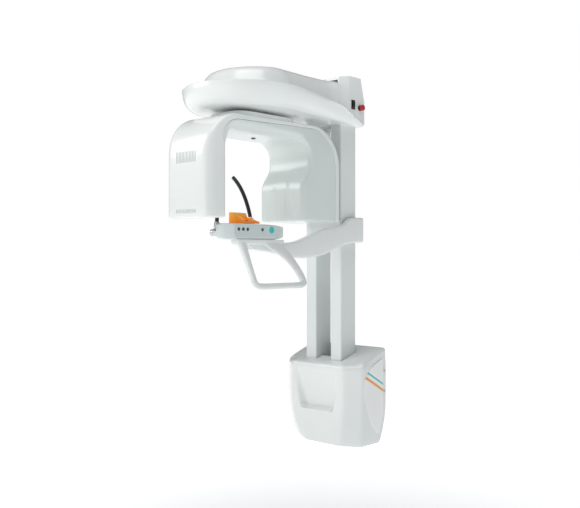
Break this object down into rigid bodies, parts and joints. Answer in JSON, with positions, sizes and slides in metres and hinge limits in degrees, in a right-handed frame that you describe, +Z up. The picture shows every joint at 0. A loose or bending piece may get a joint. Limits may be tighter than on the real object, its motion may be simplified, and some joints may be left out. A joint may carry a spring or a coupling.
{
  "type": "panoramic dental x-ray machine",
  "caption": "Wall-hung dental X-ray unit: twin-post lift column with overhead housing, turning C-arch, and a boom with key panel, handle, chin rest and temple rods.",
  "frame": {"origin": "centre of the four wall bolts, on the wall's surface", "axes": "+Z up the column, +Y into the wall, +X to the right along the wall for someone who faces it"},
  "size_m": [0.4798, 0.856, 1.447],
  "materials": {
    "shell_white": "glossy white moulded plastic",
    "post_white": "satin white powder coat on aluminium",
    "boom_white": "gloss white paint on cast aluminium",
    "trim_white": "gloss white trim with plain stripes",
    "panel_grey": "light grey moulded plastic",
    "film_grey": "satin printed film",
    "key_dark": "dark key",
    "key_green": "dark green key",
    "key_turquoise": "turquoise key",
    "orange_clear": "translucent orange plastic",
    "black_plastic": "satin black plastic",
    "red_plastic": "red plastic",
    "liner_grey": "pale grey-green moulded plastic",
    "steel": "brushed steel",
    "aluminium": "machined aluminium",
    "zinc_frame": "zinc plated steel",
    "motor_black": "black painted motor",
    "belt_rubber": "rubber belt",
    "pad_acetal": "low-friction plastic"
  },
  "bodies": {
    "wall_unit": {"wall_plate": "zinc_frame", "guide_frame": "zinc_frame", "guide_pads": "pad_acetal", "lift_gearbox": "aluminium", "lift_motor": "motor_black", "lower_cover": "shell_white", "side_trims": "trim_white", "power_supply": "aluminium", "mains_gland": "black_plastic", "cover_screws": "steel"},
    "lift_drive_gear": {"lift_pinion": "steel"},
    "column": {"left_post": "post_white", "right_post": "post_white", "post_foot": "black_plastic", "head_frame": "zinc_frame", "lift_rack": "steel", "overhead_beam": "aluminium", "slide_rails": "steel", "overhead_bowl": "shell_white", "overhead_lid": "shell_white", "head_cover": "shell_white", "switch_bezel": "black_plastic", "estop_collar": "black_plastic", "support_plate": "boom_white", "support_boom": "boom_white", "panel_front": "panel_grey", "panel_back": "panel_grey", "keypad_film": "film_grey", "handle": "boom_white", "rest_carrier": "panel_grey"},
    "mains_switch": {"mains_rocker": "black_plastic"},
    "stop_button": {"estop_button": "red_plastic"},
    "carriage": {"carriage_plate": "aluminium", "bearing_outer": "steel", "arch_motor": "motor_black", "drive_belt": "belt_rubber"},
    "motor_shaft": {"motor_pulley": "aluminium"},
    "arch": {"arch_shaft": "steel", "arch_pulley": "aluminium", "bearing_inner": "steel", "arch_outer_shell": "shell_white", "arch_inner_liner": "liner_grey", "neck_ring": "shell_white", "arch_frame": "zinc_frame", "source_tank": "aluminium", "collimator": "steel", "sensor_module": "aluminium", "beam_windows": "liner_grey", "vent_screens": "liner_grey", "positioning_laser": "black_plastic"},
    "up_key": {"key_up": "key_dark"},
    "down_key": {"key_down": "key_dark"},
    "mode_key": {"key_mode": "key_dark"},
    "reset_key": {"key_reset": "key_green"},
    "start_button": {"start_key": "key_turquoise"},
    "chin_support": {"chin_rest": "orange_clear"},
    "temple_front": {"temple_rod_front": "black_plastic", "temple_socket_front": "steel"},
    "temple_rear": {"temple_rod_rear": "black_plastic", "temple_socket_rear": "steel"}
  },
  "joints": [
    {"name": "column_lift", "type": "slide", "parent": "wall_unit", "child": "column", "axis": [0, 0, 1], "range_m": [-0.38, 0.12]},
    {"name": "pinion_turn", "type": "hinge", "parent": "wall_unit", "child": "lift_drive_gear", "pos_m": [0.007, -0.1, 0.03], "axis": [0, 1, 0], "range_deg": [-400, 1250]},
    {"name": "carriage_travel", "type": "slide", "parent": "column", "child": "carriage", "axis": [0, -1, 0], "range_m": [0, 0.04]},
    {"name": "arch_turn", "type": "hinge", "parent": "carriage", "child": "arch", "pos_m": [0, -0.56, 1.1], "axis": [0, 0, 1], "range_deg": [-90, 180]},
    {"name": "motor_turn", "type": "hinge", "parent": "carriage", "child": "motor_shaft", "pos_m": [0, -0.445, 1.1], "axis": [0, 0, 1], "range_deg": [-460, 910]},
    {"name": "mains_rock", "type": "hinge", "parent": "column", "child": "mains_switch", "pos_m": [0.104, -0.102, 1.141], "axis": [0, 1, 0], "range_deg": [-8, 8]},
    {"name": "stop_press", "type": "slide", "parent": "column", "child": "stop_button", "axis": [-1, 0, 0], "range_m": [0, 0.004], "stiffness_N_per_m": 1500},
    {"name": "chin_lift", "type": "slide", "parent": "column", "child": "chin_support", "axis": [0, 0, 1], "range_m": [0, 0.024]},
    {"name": "temple_close_front", "type": "hinge", "parent": "column", "child": "temple_front", "pos_m": [-0.038, -0.698, 0.632], "axis": [-1, 0, 0], "range_deg": [0, 10]},
    {"name": "temple_close_rear", "type": "hinge", "parent": "column", "child": "temple_rear", "pos_m": [-0.038, -0.502, 0.632], "axis": [1, 0, 0], "range_deg": [0, 10]},
    {"name": "up_press", "type": "slide", "parent": "column", "child": "up_key", "axis": [-1, 0, 0], "range_m": [0, 0.001], "stiffness_N_per_m": 500},
    {"name": "down_press", "type": "slide", "parent": "column", "child": "down_key", "axis": [-1, 0, 0], "range_m": [0, 0.001], "stiffness_N_per_m": 500},
    {"name": "mode_press", "type": "slide", "parent": "column", "child": "mode_key", "axis": [-1, 0, 0], "range_m": [0, 0.001], "stiffness_N_per_m": 500},
    {"name": "reset_press", "type": "slide", "parent": "column", "child": "reset_key", "axis": [-1, 0, 0], "range_m": [0, 0.001], "stiffness_N_per_m": 500},
    {"name": "start_press", "type": "slide", "parent": "column", "child": "start_button", "axis": [-1, 0, 0], "range_m": [0, 0.0015], "stiffness_N_per_m": 500}
  ],
  "couplings": [
    {"joint": "pinion_turn", "follows": "column_lift", "rad_per_m": -57.143},
    {"joint": "motor_turn", "follows": "arch_turn", "ratio": 5},
    {"joint": "temple_close_rear", "follows": "temple_close_front", "ratio": 1}
  ]
}
